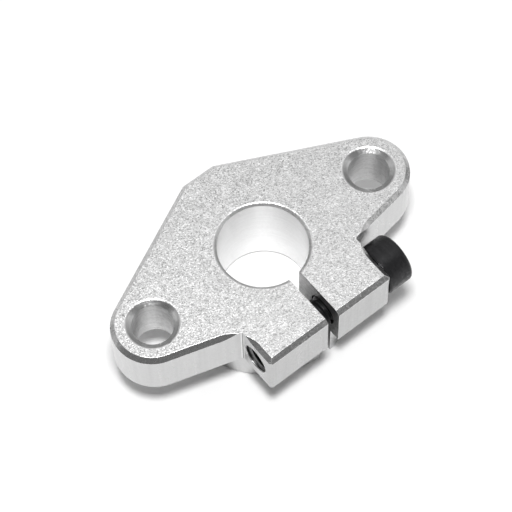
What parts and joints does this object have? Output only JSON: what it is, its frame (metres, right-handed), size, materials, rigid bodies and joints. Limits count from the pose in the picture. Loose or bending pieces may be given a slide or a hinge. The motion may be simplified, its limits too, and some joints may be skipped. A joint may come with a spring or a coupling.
{
  "type": "shaft support block",
  "caption": "Flanged clamping block that grips a round shaft: split bore in a short boss, flat mounting face with screw holes, and a cross screw that closes the slit.",
  "frame": {"origin": "on the bore's axis, at the boss's end, which is the centre of the part's base", "axes": "+Z along the bore from the boss's end to the flat mounting face; +X along the row of mounting holes, towards the clamp screw's head; the split ears reach out along -Y"},
  "size_m": [0.047, 0.028, 0.013],
  "materials": {
    "blasted_aluminium": "machined, then blasted to a fine sparkling grain",
    "black_oxide_steel": "black oxide, satin"
  },
  "bodies": {
    "support": {"support_body": "blasted_aluminium"},
    "screw": {"clamp_screw": "black_oxide_steel"}
  },
  "joints": [
    {"name": "clamp_screw_turn", "type": "hinge", "parent": "support", "child": "screw", "pos_m": [0, -0.0107, 0.0092], "axis": [1, 0, 0], "range_deg": [0, 360]}
  ]
}
